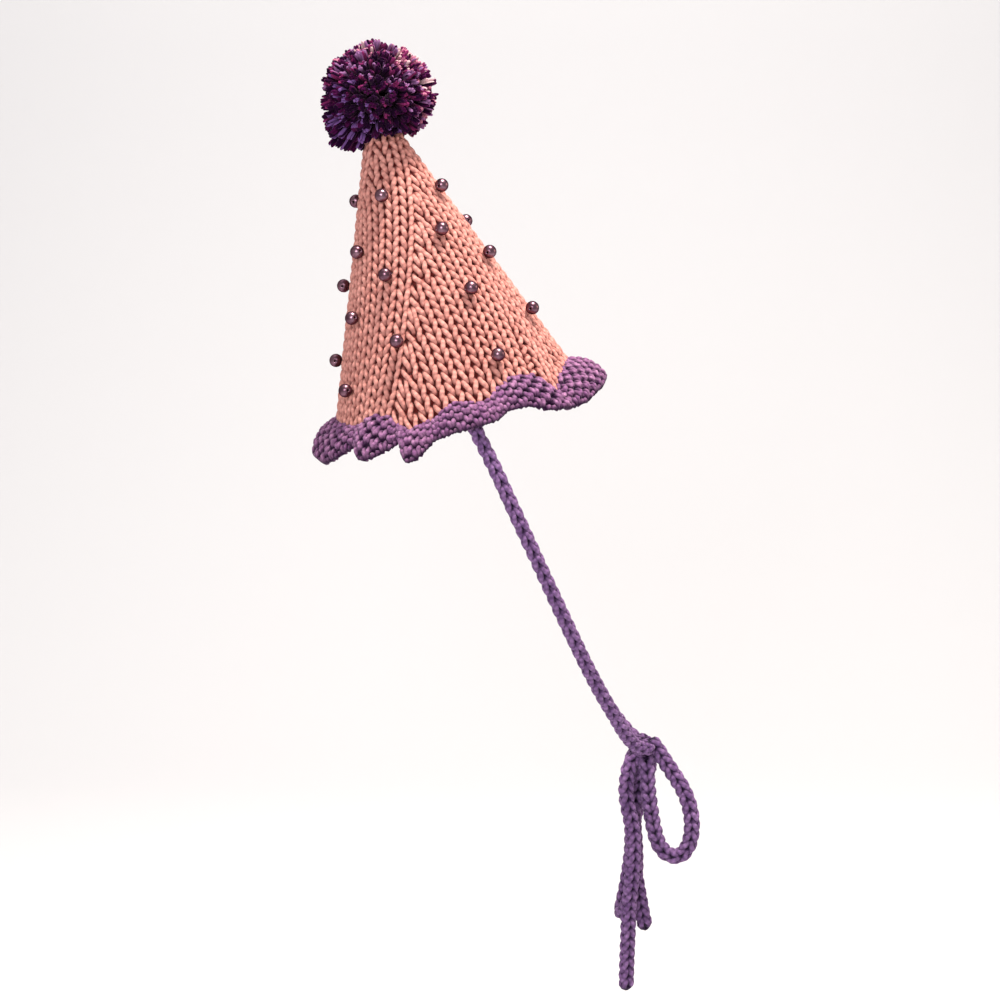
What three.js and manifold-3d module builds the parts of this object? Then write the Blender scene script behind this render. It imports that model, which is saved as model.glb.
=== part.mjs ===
// Knit party hat: a tilted cone crown with a pompom, sewn beads, a ruffled edge,
// and two knitted cord ties that meet under the chin in a bow.
// Units are millimetres. +Z is up, +X is the way the wearer faces, +Y is the wearer's left.
// The origin is the centre of the circle where the crown meets the ruffle.

import * as THREE from 'three';
import { mergeVertices } from 'three/addons/utils/BufferGeometryUtils.js';
import Module from 'manifold-3d';

const wasm = await Module();
wasm.setup();

// Driving dimensions of the whole hat
const TILT_DEG = 15.3;            // the hat leans backwards by this much
const RIM_RADIUS = 67.5;          // outside of the crown at the ruffle seam
const CONE_HEIGHT = 172.5;        // seam plane to the point where the cone would end
const GAP = 0.35;                 // clearance between touching pieces
const AROUND = 96;                // facets round the crown and the ruffle

// Crown
const CROWN_WALL = 4.4;           // double thickness of bulky yarn in stockinette
const CROWN_TOP = 146.5;          // height of the gathered top
const CROWN_GATHER = 7;           // height over which the top is drawn in
const CROWN_ROWS = 9;
const CROWN_LINING_ROWS = 4;
const PANELS = 4;                 // panels between spiral decrease lines
const RIDGE_HEIGHT = 0.7;
const RIDGE_WIDTH = 5;
const RIDGE_RIM_AZIMUTH = -30;    // where the first decrease line starts at the rim
const RIDGE_TWIST = 46.2;         // degrees gained each time the slant distance falls by e

// Ruffle
const RUFFLE_THICKNESS = 5.6;
const RUFFLE_BELLY = 0.4;         // how far the band bows outwards halfway down, at least
const RUFFLE_PUFF = 0.26;         // further bow of the lobes, as a share of their flare

// One row for each fold or turn of the ruffle. Azimuth 0 is the wearer's right side (-Y) and
// 90 is the front (+X). top is the height of the seam there, low the height of the lower edge,
// and flare how far that edge stands outside the line of the cone.
const RUFFLE_FOLDS = [
  { azimuth: -111, top: 1, low: -19, flare: 12 },
  { azimuth: -98, top: -3, low: -12, flare: 5 },
  { azimuth: -86, top: 2, low: -15, flare: 12.5 },
  { azimuth: -72, top: -0.5, low: -19.5, flare: 9 },
  { azimuth: -52, top: -3, low: -13.5, flare: 1 },
  { azimuth: -40, top: 0.5, low: -21, flare: 9.5 },
  { azimuth: -31, top: -1.5, low: -18.8, flare: 5 },
  { azimuth: -26.5, top: -7, low: -16, flare: 0 },
  { azimuth: -21, top: -11, low: -27.5, flare: 7 },
  { azimuth: -11, top: -9, low: -20, flare: 1 },
  { azimuth: 1, top: -3.5, low: -18.5, flare: 5 },
  { azimuth: 15, top: -7, low: -18.5, flare: 3 },
  { azimuth: 23, top: -2, low: -15, flare: 2 },
  { azimuth: 31, top: 1.5, low: -15.5, flare: 5 },
  { azimuth: 42, top: -0.5, low: -22, flare: 8 },
  { azimuth: 51, top: -14, low: -24, flare: 4 },
  { azimuth: 59, top: -6, low: -23.5, flare: 8 },
  { azimuth: 74, top: -1.5, low: -19.5, flare: 11 },
  { azimuth: 88, top: -0.5, low: -16.5, flare: 13 },
  { azimuth: 102, top: -4, low: -15, flare: 3 },
  { azimuth: 118, top: 1, low: -21, flare: 11 },
  { azimuth: 134, top: -5, low: -15, flare: 2 },
  { azimuth: 150, top: 1, low: -22, flare: 10 },
  { azimuth: 167, top: -5, low: -16, flare: 2 },
  { azimuth: 183, top: 1, low: -21, flare: 9 },
  { azimuth: 200, top: -5, low: -15, flare: 1 },
  { azimuth: 216, top: 1, low: -22, flare: 10 },
  { azimuth: 233, top: -4, low: -14, flare: 2 },
];

// Pompom
const POMPOM_CENTRE = [3.8, 0, 168.8];
const POMPOM_CORE = 25;
const POMPOM_REACH = 31;
const POMPOM_FLAT_TOP = 2;        // the locks on top are this much shorter
const POMPOM_FLOOR = 24;          // how far below the centre the locks may end
const POMPOM_DROOP = 5.5;         // extra reach of the locks that sag at the lower back
const POMPOM_DROOP_WAY = [-0.7, -0.15, -0.69];
const POMPOM_LOCKS = 64;
const LOCK_ROOT = 5.4;
const LOCK_TIP = 4;

// Beads: columns evenly spread round the crown, in two alternating sets of heights
const BEAD_RADIUS = 3.75;
const BEAD_SIDES = 10;
const BEAD_COLUMNS = [
  { azimuths: [-114, -99, -95], heights: [114.7, 71, 32] },
  { azimuths: [-52, -55, -58], heights: [87, 53, 16] },
  { azimuths: [-17, -23, -20], heights: [113, 71, 35] },
  { azimuths: [31, 31, 28], heights: [87, 52, 14] },
  { azimuths: [62, 66, 69], heights: [110, 68, 32] },
  { azimuths: [119, 125, 128], heights: [88, 52, 15] },
  { azimuths: [160, 163, 166], heights: [112, 70, 34] },
  { azimuths: [207, 209, 212], heights: [88, 52, 15] },
];

// Knitted cords
const TIE_DIAMETER = 8.4;
const BOW_DIAMETER = 9.6;
const CORD_SIDES = 8;
const TIE_STEPS = 14;
const BOW_STEPS = { bow_loop_front: 16, bow_loop_back: 18, bow_tail_long: 9, bow_tail_short: 7 };
const TIE_ANCHOR_AZIMUTHS = { tie_right: 6, tie_left: 177 };   // where each tie is sewn in
const TIE_ANCHOR_HEIGHTS = [-2, -9];
const KNOT_CENTRE = [108.4, 0, -203.1];
const KNOT_HALF_WIDTHS = [10.2, 13];   // along X and Y
const KNOT_WRAP_RADIUS = 6.2;
const KNOT_WRAP_TUBE = 4.6;

// Outline of the knot's core: share of the half width, and height above the knot's centre
const KNOT_OUTLINE = [
  { width: 0, height: 8.2 }, { width: 0.5, height: 7.3 }, { width: 0.86, height: 4.2 },
  { width: 1, height: 0 }, { width: 1, height: -5.5 }, { width: 0.86, height: -8.7 },
  { width: 0, height: -8.7 },
];

// Centre lines of the ties, from below the ruffle to the knot. The left one hangs a little
// further back than the right one.
const TIE_ROUTES = {
  tie_right: [
    [13.4, -68, -16.2], [23.8, -72, -36.7], [33.6, -75, -57.8], [43.4, -75, -79.2],
    [53.4, -73, -101.1], [63.5, -68, -123.5], [73.2, -60, -144.5], [82.2, -50, -162.8],
    [89.8, -40, -176.9], [96.4, -30, -187.3], [102.8, -20.2, -195.2], [106.6, -13.1, -200.8],
  ],
  tie_left: [
    [7.1, 68, -16.2], [16.9, 72, -36.7], [26.9, 75, -57.8], [36.7, 75, -79.2],
    [46.9, 73, -101.1], [57.4, 68, -123.5], [67.4, 60, -144.5], [76.7, 50, -162.8],
    [84.6, 40, -176.9], [91.6, 30, -187.3], [98.8, 20.2, -195.2], [105.4, 13.1, -200.8],
  ],
};

// Centre lines of the bow's strands, below the short straight roots that hold them to the
// knot's flat underside. A loop has a root at both ends, a tail at its first.
const BOW_ROUTES = {
  bow_loop_front: [
    [119.4, -2.6, -215.2], [123.6, -6.4, -218.4], [130.4, -11, -225.2], [134.2, -12, -235],
    [135.2, -12, -246.3], [133.2, -12, -256.8], [128.4, -12, -262.4], [122.2, -12, -262],
    [117, -12, -256.6], [113.9, -11.6, -247.2], [111.9, -11.3, -236], [110.4, -11, -225],
    [110.2, -10.6, -215.2],
  ],
  bow_loop_back: [
    [101.9, 9.6, -215.2], [101.8, 8.8, -226], [103, 7.6, -244], [104.4, 7.4, -262],
    [104.4, 8, -279], [101.8, 10.8, -293], [98.2, 16.5, -303.6], [97.6, 23.5, -303],
    [100.4, 28.6, -291], [103.2, 30, -272], [104.4, 28.6, -255], [107.6, 24.6, -239],
    [111, 18, -225.6], [112.6, 11.6, -215.2],
  ],
  bow_tail_long: [
    [99.8, -7.6, -215.2], [97.8, -12, -223], [98.2, -14.6, -231], [100.3, -15.6, -241],
    [101.7, -16, -252], [101.6, -16, -265], [100.7, -15.6, -278], [99.6, -15, -290],
    [99.2, -14.6, -306], [98.6, -14.2, -324], [98.2, -14, -340.4],
  ],
  bow_tail_short: [
    [107.6, 0.2, -215.2], [105.8, -1, -223], [102.8, -3, -237], [101.9, -3.8, -252],
    [102.8, -4.2, -269], [105.8, -4.6, -287], [109.8, -5, -308],
  ],
};

const COLOURS = {
  crown: { color: 0xe09a86, roughness: 0.95, metalness: 0 },
  cord: { color: 0x80618f, roughness: 0.95, metalness: 0 },
  pompom: { color: 0x5c2a58, roughness: 1, metalness: 0 },
  bead: { color: 0x6b4658, roughness: 0.22, metalness: 0.65 },
};

const SLOPE = RIM_RADIUS / CONE_HEIGHT;
const HALF_ANGLE = Math.atan(SLOPE);
const radians = THREE.MathUtils.degToRad;

// A point in the hat's own upright frame, from its azimuth, its distance from the axis and height
function hatPoint(azimuth, radius, height) {
  const angle = radians(azimuth);
  return new THREE.Vector3(radius * Math.sin(angle), -radius * Math.cos(angle), height);
}

// Radius of the cone's outside at a height
function coneRadius(height) {
  return (CONE_HEIGHT - height) * SLOPE;
}

// Value of one column of the fold table at an azimuth, eased from fold to fold
function foldValue(column, azimuth) {
  const first = RUFFLE_FOLDS[0].azimuth;
  const turned = first + THREE.MathUtils.euclideanModulo(azimuth - first, 360);
  const count = RUFFLE_FOLDS.length;
  let index = 0;
  while (index < count - 1 && RUFFLE_FOLDS[index + 1].azimuth <= turned) {
    index += 1;
  }
  const here = RUFFLE_FOLDS[index];
  const next = RUFFLE_FOLDS[(index + 1) % count];
  const nextAzimuth = index === count - 1 ? first + 360 : next.azimuth;
  const share = (turned - here.azimuth) / (nextAzimuth - here.azimuth);
  const eased = (1 - Math.cos(Math.PI * share)) / 2;
  return THREE.MathUtils.lerp(here[column], next[column], eased);
}

// Height of the low ridges where the spiral decreases run
function ridge(azimuth, height) {
  const fade = 1 - height / CROWN_TOP;
  const lineAzimuth = RIDGE_RIM_AZIMUTH - RIDGE_TWIST * Math.log(coneRadius(height) / RIM_RADIUS);
  const spacing = 360 / PANELS;
  const offset = THREE.MathUtils.euclideanModulo(azimuth - lineAzimuth + spacing / 2, spacing) - spacing / 2;
  const distance = radians(offset) * coneRadius(height);
  return RIDGE_HEIGHT * Math.min(1, Math.max(0, fade)) * Math.exp(-((distance / RIDGE_WIDTH) ** 2));
}

// A closed skin over a row of rings. A ring of one point closes an end, and a looped skin
// joins its last ring to its first.
function skin(rings, looped) {
  const points = [];
  const starts = rings.map((ring) => {
    const start = points.length;
    points.push(...ring);
    return start;
  });
  const faces = [];
  const spans = looped ? rings.length : rings.length - 1;
  for (let row = 0; row < spans; row += 1) {
    const next = (row + 1) % rings.length;
    const sides = Math.max(rings[row].length, rings[next].length);
    for (let side = 0; side < sides; side += 1) {
      const after = (side + 1) % sides;
      const a = starts[row] + (rings[row].length > 1 ? side : 0);
      const b = starts[row] + (rings[row].length > 1 ? after : 0);
      const c = starts[next] + (rings[next].length > 1 ? after : 0);
      const d = starts[next] + (rings[next].length > 1 ? side : 0);
      if (a !== b) {
        faces.push(a, b, c);
      }
      if (c !== d) {
        faces.push(a, c, d);
      }
    }
  }
  const geometry = new THREE.BufferGeometry();
  geometry.setAttribute('position', new THREE.Float32BufferAttribute(points.flatMap((p) => p.toArray()), 3));
  geometry.setIndex(faces);
  return geometry;
}

// A ring of points, one for each facet round the hat
function aroundRing(place) {
  return Array.from({ length: AROUND }, (_, step) => place((360 * step) / AROUND));
}

// Outer surface of the crown, from the seam at share 0 to the gathered top at share 1
function crownOuter(azimuth, share) {
  const height = share * CROWN_TOP + foldValue('top', azimuth) * (1 - share) ** 4;
  const drawn = Math.max(0, (height - CROWN_TOP + CROWN_GATHER) / CROWN_GATHER);
  const radius = (coneRadius(height) + ridge(azimuth, height)) * Math.sqrt(1 - 0.55 * drawn ** 2);
  return hatPoint(azimuth, radius, height);
}

// Inner surface of the crown, one wall inside the outer one
function crownInner(azimuth, share) {
  const innerTop = CROWN_TOP - CROWN_GATHER - CROWN_WALL;
  const height = share * innerTop + foldValue('top', azimuth) * (1 - share) ** 4;
  return hatPoint(azimuth, coneRadius(height) - CROWN_WALL / Math.cos(HALF_ANGLE), height);
}

function makeCrown() {
  const rings = [[new THREE.Vector3(0, 0, CROWN_TOP + 1.2)]];
  for (let row = 0; row <= CROWN_ROWS; row += 1) {
    const share = 1 - (row / CROWN_ROWS) ** 1.25;
    rings.push(aroundRing((azimuth) => crownOuter(azimuth, share)));
  }
  for (let row = 0; row <= CROWN_LINING_ROWS; row += 1) {
    rings.push(aroundRing((azimuth) => crownInner(azimuth, row / CROWN_LINING_ROWS)));
  }
  rings.push([new THREE.Vector3(0, 0, CROWN_TOP - CROWN_WALL)]);
  return skin(rings.reverse(), false);
}

// Section of the ruffle at an azimuth, as points of radius and height, from the outer top
// corner down, round the lower edge and up the inside
function ruffleSection(azimuth) {
  const top = foldValue('top', azimuth) - GAP;
  const low = foldValue('low', azimuth);
  const flare = foldValue('flare', azimuth);
  const half = RUFFLE_THICKNESS / 2;
  const belly = RUFFLE_BELLY + RUFFLE_PUFF * flare;
  const wall = CROWN_WALL / Math.cos(HALF_ANGLE);
  const head = new THREE.Vector2(coneRadius(top) - wall / 2, top);
  const foot = new THREE.Vector2(coneRadius(low) + flare - half, low + half);
  const along = foot.clone().sub(head).normalize();
  const across = new THREE.Vector2(-along.y, along.x);
  const waist = head.clone().lerp(foot, 0.5).addScaledVector(across, belly);
  return [
    new THREE.Vector2(coneRadius(top), top),
    waist.clone().addScaledVector(across, half),
    foot.clone().addScaledVector(across, half),
    foot.clone().addScaledVector(across, half * 0.55).addScaledVector(along, half * 0.85),
    foot.clone().addScaledVector(across, -half * 0.55).addScaledVector(along, half * 0.85),
    foot.clone().addScaledVector(across, -half),
    waist.clone().addScaledVector(across, -half),
    new THREE.Vector2(coneRadius(top) - wall, top),
  ];
}

function makeRuffle() {
  const sectionPoints = ruffleSection(0).length;
  const rings = Array.from({ length: sectionPoints }, (_, index) =>
    aroundRing((azimuth) => {
      const corner = ruffleSection(azimuth)[index];
      return hatPoint(azimuth, corner.x, corner.y);
    }));
  return skin(rings.reverse(), true);
}

// A solid for joining and cutting, from a closed geometry
function toSolid(geometry) {
  const bare = geometry.clone();
  bare.deleteAttribute('normal');
  bare.deleteAttribute('uv');
  const merged = mergeVertices(bare, 1e-4);
  return new wasm.Manifold(new wasm.Mesh({
    numProp: 3,
    vertProperties: new Float32Array(merged.attributes.position.array),
    triVerts: new Uint32Array(merged.index.array),
  }));
}

// A geometry from a joined or cut solid
function toGeometry(solid) {
  const mesh = solid.getMesh();
  const geometry = new THREE.BufferGeometry();
  geometry.setAttribute('position', new THREE.Float32BufferAttribute(mesh.vertProperties, 3));
  geometry.setIndex(Array.from(mesh.triVerts));
  return geometry;
}

// Direction number index of a count spread evenly over a sphere
function spreadDirection(index, count) {
  const height = 1 - (2 * index + 1) / count;
  const turn = index * Math.PI * (3 - Math.sqrt(5));
  const ring = Math.sqrt(1 - height * height);
  return new THREE.Vector3(ring * Math.cos(turn), ring * Math.sin(turn), height);
}

// One tapered lock of yarn from the middle of the pompom outwards
function makeLock(direction, reach) {
  const start = POMPOM_CORE * 0.75;
  const lock = new THREE.CylinderGeometry(LOCK_TIP, LOCK_ROOT, reach - start, 5);
  lock.translate(0, (reach + start) / 2, 0);
  lock.applyQuaternion(new THREE.Quaternion().setFromUnitVectors(new THREE.Vector3(0, 1, 0), direction));
  return toSolid(lock);
}

function makePompom() {
  const droop = new THREE.Vector3(...POMPOM_DROOP_WAY).normalize();
  let solid = toSolid(new THREE.SphereGeometry(POMPOM_CORE, 18, 11));
  for (let index = 0; index < POMPOM_LOCKS; index += 1) {
    const direction = spreadDirection(index, POMPOM_LOCKS);
    const sag = POMPOM_DROOP * Math.max(0, direction.dot(droop)) ** 6;
    const uneven = 0.9 * Math.sin(index * 2.4);
    const flat = POMPOM_FLAT_TOP * Math.max(0, direction.z);
    const lowest = (POMPOM_FLOOR + sag) / Math.max(0.01, -direction.z);
    solid = solid.add(makeLock(direction, Math.min(lowest, POMPOM_REACH - flat + sag + uneven)));
  }
  // The seat: the crown's gathered tip with a clearance, cut out of the underside
  const clear = GAP / Math.cos(HALF_ANGLE) + 0.15;
  const seatFoot = CROWN_TOP - 40;
  const seatTop = CROWN_TOP + 1.2 + GAP;
  const seat = new THREE.LatheGeometry([
    new THREE.Vector2(0, seatFoot),
    new THREE.Vector2(coneRadius(seatFoot) + clear, seatFoot),
    new THREE.Vector2(coneRadius(CROWN_TOP) + clear, CROWN_TOP),
    new THREE.Vector2(coneRadius(CROWN_TOP) * 0.67 + clear, seatTop),
    new THREE.Vector2(0, seatTop),
  ], 24);
  seat.rotateX(Math.PI / 2);
  seat.translate(-POMPOM_CENTRE[0], -POMPOM_CENTRE[1], -POMPOM_CENTRE[2]);
  return toGeometry(solid.subtract(toSolid(seat)));
}

// A round cord of even thickness along a list of points
function makeCord(points, diameter, steps) {
  const section = new THREE.Shape();
  for (let side = 0; side < CORD_SIDES; side += 1) {
    const angle = (2 * Math.PI * (side + 0.5)) / CORD_SIDES;
    const x = (diameter / 2) * Math.cos(angle);
    const y = (diameter / 2) * Math.sin(angle);
    if (side === 0) {
      section.moveTo(x, y);
    } else {
      section.lineTo(x, y);
    }
  }
  section.closePath();
  const path = new THREE.CatmullRomCurve3(points.map((point) => new THREE.Vector3(...point)));
  return new THREE.ExtrudeGeometry(section, { steps, curveSegments: 1, extrudePath: path });
}

// Inside face of the ruffle at an azimuth and height, as a distance from the axis
function ruffleInside(azimuth, height) {
  const [, , , , , foot, waist, head] = ruffleSection(azimuth);
  const [lower, upper] = height < waist.y ? [foot, waist] : [waist, head];
  return THREE.MathUtils.mapLinear(height, lower.y, upper.y, lower.x, upper.x);
}

// Whole route of a tie: sewn flat to the inside of the ruffle, then down to the knot
function tieRoute(name) {
  const azimuth = TIE_ANCHOR_AZIMUTHS[name];
  const anchors = TIE_ANCHOR_HEIGHTS.map((height) => {
    const radius = ruffleInside(azimuth, height) - TIE_DIAMETER / 2 - GAP - 0.45;
    const place = hatPoint(azimuth, radius, height);
    return place.applyAxisAngle(new THREE.Vector3(0, 1, 0), -radians(TILT_DEG)).toArray();
  });
  return [...anchors, ...TIE_ROUTES[name]];
}

// A root point of a strand: straight above a route's end, just under the knot
function strandRoot([x, y]) {
  const underside = KNOT_OUTLINE[KNOT_OUTLINE.length - 1].height;
  return [x, y, KNOT_CENTRE[2] + underside - GAP];
}

// Whole route of one of the bow's strands
function bowRoute(name) {
  const points = BOW_ROUTES[name];
  const ends = name.includes('loop') ? [strandRoot(points[points.length - 1])] : [];
  return [strandRoot(points[0]), ...points, ...ends];
}

// The knot: a rounded core with one turn of cord wrapped round it
function makeKnot() {
  const outline = KNOT_OUTLINE.map(({ width, height }) => new THREE.Vector2(width, height)).reverse();
  const core = new THREE.LatheGeometry(outline, 14);
  core.rotateX(Math.PI / 2);
  core.scale(KNOT_HALF_WIDTHS[0], KNOT_HALF_WIDTHS[1], 1);
  const wrap = new THREE.TorusGeometry(KNOT_WRAP_RADIUS, KNOT_WRAP_TUBE, 8, 14);
  return toGeometry(toSolid(core).add(toSolid(wrap)));
}

const hat = new THREE.Group();
const upper = new THREE.Group();
upper.rotation.y = -radians(TILT_DEG);
hat.add(upper);

function addPiece(parent, name, geometry, finish) {
  const piece = new THREE.Mesh(geometry, new THREE.MeshStandardMaterial(finish));
  piece.name = name;
  parent.add(piece);
  return piece;
}

addPiece(upper, 'crown', makeCrown(), COLOURS.crown);
addPiece(upper, 'ruffle', makeRuffle(), COLOURS.cord);
addPiece(upper, 'pompom', makePompom(), COLOURS.pompom).position.set(...POMPOM_CENTRE);

// Each bead rests on the outside of the crown, a clearance away from its surface
let beadNumber = 0;
for (const column of BEAD_COLUMNS) {
  for (const [row, height] of column.heights.entries()) {
    beadNumber += 1;
    const azimuth = column.azimuths[row];
    const stand = BEAD_RADIUS + GAP + ridge(azimuth, height);
    const radius = coneRadius(height) + stand * Math.cos(HALF_ANGLE);
    const name = `bead_${String(beadNumber).padStart(2, '0')}`;
    const bead = addPiece(upper, name, new THREE.SphereGeometry(BEAD_RADIUS, BEAD_SIDES, 6), COLOURS.bead);
    bead.position.copy(hatPoint(azimuth, radius, height + stand * Math.sin(HALF_ANGLE)));
  }
}

for (const name of Object.keys(TIE_ROUTES)) {
  addPiece(hat, name, makeCord(tieRoute(name), TIE_DIAMETER, TIE_STEPS), COLOURS.cord);
}
addPiece(hat, 'bow_knot', makeKnot(), COLOURS.cord).position.set(...KNOT_CENTRE);
for (const [name, steps] of Object.entries(BOW_STEPS)) {
  addPiece(hat, name, makeCord(bowRoute(name), BOW_DIAMETER, steps), COLOURS.cord);
}

export default hat;
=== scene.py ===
import math
import random

import bmesh
import bpy
from mathutils import Matrix, Vector


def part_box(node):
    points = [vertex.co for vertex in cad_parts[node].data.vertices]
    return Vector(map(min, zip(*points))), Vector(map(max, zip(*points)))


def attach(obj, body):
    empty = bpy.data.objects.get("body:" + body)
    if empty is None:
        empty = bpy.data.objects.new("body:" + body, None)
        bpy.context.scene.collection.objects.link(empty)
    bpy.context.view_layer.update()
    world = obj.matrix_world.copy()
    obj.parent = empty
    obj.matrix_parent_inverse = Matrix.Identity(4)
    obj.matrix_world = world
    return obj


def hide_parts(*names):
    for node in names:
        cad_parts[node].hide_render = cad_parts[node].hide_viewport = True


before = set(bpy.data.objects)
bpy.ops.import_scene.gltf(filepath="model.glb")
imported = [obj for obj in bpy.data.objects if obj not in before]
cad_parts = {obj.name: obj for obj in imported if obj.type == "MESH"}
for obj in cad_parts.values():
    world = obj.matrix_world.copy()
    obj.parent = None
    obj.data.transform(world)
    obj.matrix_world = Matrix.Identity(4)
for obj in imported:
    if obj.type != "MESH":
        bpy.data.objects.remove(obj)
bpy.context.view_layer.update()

# Shapes are worked out in millimetres, and each mesh is made metres once at its end
mm = 0.001

# Main sizes of the hat, as the CAD source has them
hat = {
    "tilt": math.radians(15.3),      # leans backwards
    "coneHeight": 172.5,             # seam to the point where the cone would end
    "crownTop": 146.5,
    "rimRadius": 67.5,
    "wall": 4.4,
}
coneAngle = math.atan(hat["rimRadius"] / hat["coneHeight"])
tiltMatrix = Matrix.Rotation(-hat["tilt"], 3, "Y")


def coneRadius(height):
    return (hat["coneHeight"] - height) * math.tan(coneAngle)


# Azimuth is in degrees, 0 at the wearer's right and 90 at the front
def hatPoint(azimuth, radius, height):
    angle = math.radians(azimuth)
    return tiltMatrix @ Vector((radius * math.sin(angle), -radius * math.cos(angle), height))


def smooth(share):
    share = min(1.0, max(0.0, share))
    return share * share * (3 - 2 * share)


def mix(a, b, share):
    return a + (b - a) * share


camera = {
    "place": (26.71, -1398.71, 85.63),
    "pitch": -6,
    "lens": 90,
    "sensor": 36,
}


def makeCamera():
    data = bpy.data.cameras.new("Camera")
    data.lens = camera["lens"]
    data.sensor_width = camera["sensor"]
    data.clip_end = 20
    made = bpy.data.objects.new("Camera", data)
    made.location = Vector(camera["place"]) * mm
    made.rotation_euler = (math.radians(90 + camera["pitch"]), 0, 0)
    bpy.context.scene.collection.objects.link(made)
    bpy.context.scene.camera = made


# Yarn: every knitted piece is one mesh of yarn strands, swept as round tubes

shortestStep = 0.03      # the sweep would drop steps of no length, so they are left out before


# A step of a strand: its place, the yarn's radius, the way outwards from the middle of the
# knit there, and the distance from that middle
def addStrand(strands, steps, closed=False):
    kept = [steps[0]]
    for step in steps[1:]:
        if (step[0] - kept[-1][0]).length > shortestStep:
            kept.append(step)
    strands.append((kept, closed))


# The mesh's painted shade attribute is 1 nearer to the middle of the knit than the first of the
# two distances given, and 0 further out than the second; it paints the yarn behind the face
# darker
def sweepYarn(name, strands, rings, material, shadeReach):
    curve = bpy.data.curves.new(name, "CURVE")
    curve.dimensions = "3D"
    curve.twist_mode = "MINIMUM"
    curve.bevel_depth = 1
    curve.bevel_resolution = rings
    for steps, closed in strands:
        spline = curve.splines.new("POLY")
        spline.points.add(len(steps) - 1)
        spline.points.foreach_set("co", [x for step in steps for x in (*(step[0] * mm), 1)])
        spline.points.foreach_set("radius", [step[1] * mm for step in steps])
        spline.use_cyclic_u = closed
    holder = bpy.data.objects.new(name + ".curve", curve)
    bpy.context.scene.collection.objects.link(holder)
    mesh = bpy.data.meshes.new_from_object(holder)
    bpy.data.objects.remove(holder)
    bpy.data.curves.remove(curve)
    mesh.name = name
    along, paintedShade = [], []
    corners = iter(mesh.vertices)
    near, far = shadeReach
    for steps, closed in strands:
        run = 0
        before = steps[0][0]
        for place, radius, outward, level in steps:
            run += (place - before).length
            before = place
            for side in range(4 + 2 * rings):
                off = level + (next(corners).co / mm - place).dot(outward)
                along.append(run)
                paintedShade.append(1 - smooth((abs(off) - near) / (far - near)))
    for label, values in (("along", along), ("paintedShade", paintedShade)):
        mesh.attributes.new(label, "FLOAT", "POINT").data.foreach_set("value", values)
    mesh.shade_smooth()
    piece = bpy.data.objects.new(name, mesh)
    piece.data.materials.append(material)
    bpy.context.scene.collection.objects.link(piece)
    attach(piece, "root")
    return piece


# Painted shade that closes the gaps between the stitches: a dark sheet in the middle of the knit,
# given full painted shade
def addShadeSheet(piece, columns, rows, pointAt):
    bm = bmesh.new()
    bm.from_mesh(piece.data)
    made = bmesh.ops.create_grid(bm, x_segments=columns, y_segments=rows, size=0.5)
    paintedShade = bm.verts.layers.float["paintedShade"]
    for vert in made["verts"]:
        vert.co = pointAt(360 * (vert.co.x + 0.5), vert.co.y + 0.5) * mm
        vert[paintedShade] = 1
    bmesh.ops.remove_doubles(bm, verts=made["verts"], dist=1e-6)
    bm.to_mesh(piece.data)
    bm.free()
    piece.data.shade_smooth()


# One loop of knitting, as across (0 to 1), up and out for each step of the way. The two legs
# of the loop stand apart by the spread
def loopSteps(form):
    for step in range(form["steps"]):
        turn = step / form["steps"]
        across = turn + form["sway"] * math.sin(4 * math.pi * turn)
        across -= form["spread"] * math.sin(2 * math.pi * turn)
        up = -form["rise"] * math.cos(2 * math.pi * turn)
        out = -form["dip"] * math.cos(4 * math.pi * turn)
        yield across, up, out


def newMaterial(name):
    material = bpy.data.materials.new(name)
    material.use_nodes = True
    nodes = material.node_tree.nodes
    return material, nodes, material.node_tree.links, nodes["Principled BSDF"]


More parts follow.
